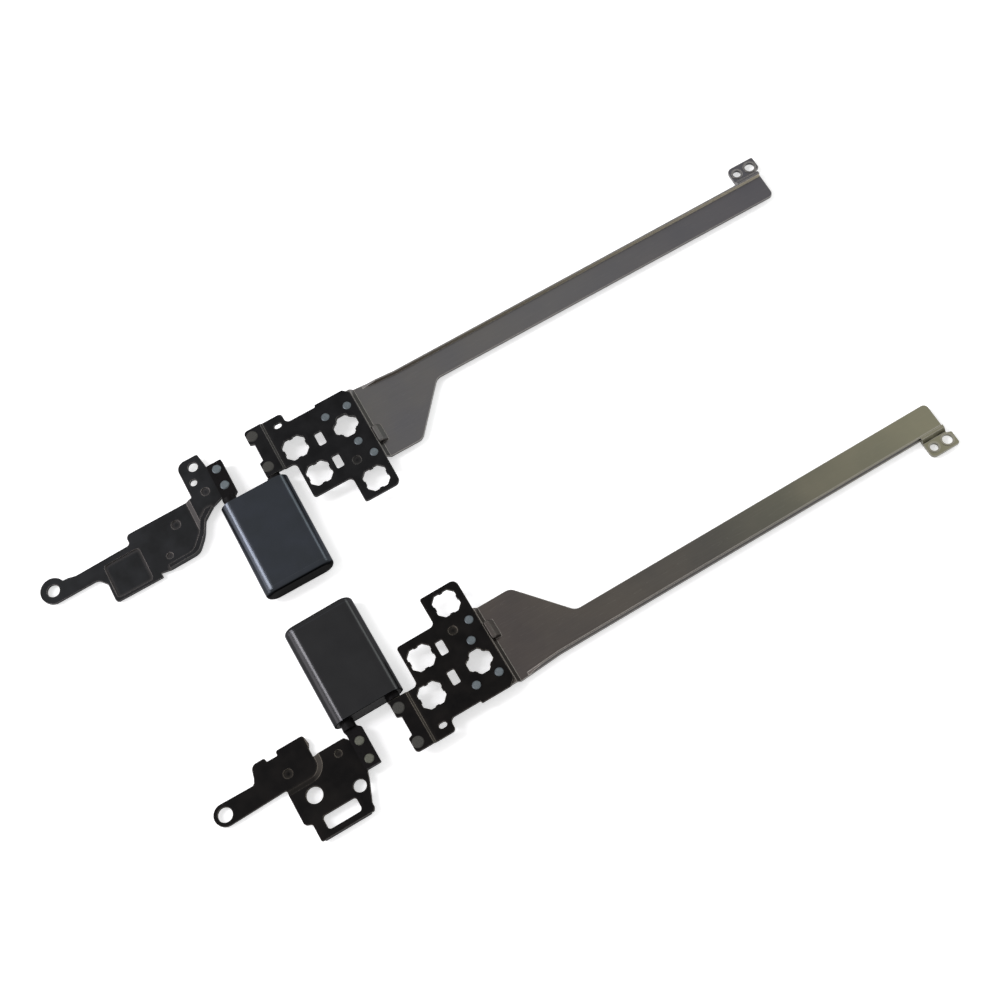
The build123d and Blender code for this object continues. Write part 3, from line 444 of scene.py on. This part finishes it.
def makeFloor():
    low = cadBox[0][2]
    half = studio["floorSize"] / 2
    mesh = bpy.data.meshes.new("floor")
    corners = [(-half, -half, low), (half, -half, low), (half, half, low), (-half, half, low)]
    mesh.from_pydata(corners, [], [(0, 1, 2, 3)])
    floor = bpy.data.objects.new("floor", mesh)
    bpy.context.collection.objects.link(floor)
    material, tree = newMaterial("whiteStudioFloor")
    matt = addNode(tree, "ShaderNodeBsdfDiffuse", {"Color": hexColour(studio["floorColour"])})
    glow = addNode(tree, "ShaderNodeEmission", {"Color": (1, 1, 1, 1)},
                   {"Strength": cameraRay(tree, 0, studio["floorGlow"])})
    both = addNode(tree, "ShaderNodeAddShader", links={0: matt.outputs[0], 1: glow.outputs[0]})
    addNode(tree, "ShaderNodeOutputMaterial", links={"Surface": both.outputs[0]})
    mesh.materials.append(material)


def makeWorld():
    world = bpy.data.worlds.new("studioSky")
    bpy.context.scene.world = world
    world.use_nodes = True
    tree = world.node_tree
    tree.nodes.clear()
    sky = addNode(tree, "ShaderNodeBackground", {"Color": (1, 1, 1, 1)},
                  {"Strength": cameraRay(tree, studio["skyFill"], studio["skyWhite"])})
    addNode(tree, "ShaderNodeOutputWorld", links={"Surface": sky.outputs[0]})


def makeLamp(name, place, size, power, colour):
    data = bpy.data.lights.new(name, "AREA")
    data.color = colour
    data.shape = "RECTANGLE"
    data.size, data.size_y = size
    data.energy = power
    lamp = bpy.data.objects.new(name, data)
    lamp.location = place
    lamp.rotation_euler = (-Vector(place)).to_track_quat("-Z", "Y").to_euler()    # faces the part
    bpy.context.collection.objects.link(lamp)


makeFloor()
makeWorld()
for name, lampSettings in studio["lamps"].items():
    makeLamp(name, *lampSettings)
print("studio ready")


# Camera: a handheld shot from above the front edge, rolled a little
view = {
    "azimuth": 12.36, "elevation": 68.5, "roll": 17.4,      # degrees
    "target": (3.61, 0.23, 4.15),                           # mm, at the middle of the picture
    "distance": 404.8,                                      # mm
    "lens": 61.2, "sensor": 36.0,                           # mm
    "clip": (0.01, 20),                                     # m
}


def makeCamera():
    azimuth, elevation = math.radians(view["azimuth"]), math.radians(view["elevation"])
    back = Vector((-math.sin(azimuth) * math.cos(elevation),
                   -math.cos(azimuth) * math.cos(elevation),
                   math.sin(elevation)))
    data = bpy.data.cameras.new("photoCamera")
    data.lens, data.sensor_width = view["lens"], view["sensor"]
    data.clip_start, data.clip_end = view["clip"]
    camera = bpy.data.objects.new("photoCamera", data)
    bpy.context.collection.objects.link(camera)
    turn = back.to_track_quat("Z", "Y").to_matrix().to_4x4()
    roll = Matrix.Rotation(math.radians(-view["roll"]), 4, "Z")
    place = Vector(view["target"]) * mm + back * view["distance"] * mm
    camera.matrix_world = Matrix.Translation(place) @ turn @ roll
    bpy.context.scene.camera = camera


makeCamera()
bpy.context.scene.view_settings.view_transform = "Standard"
print("camera set")
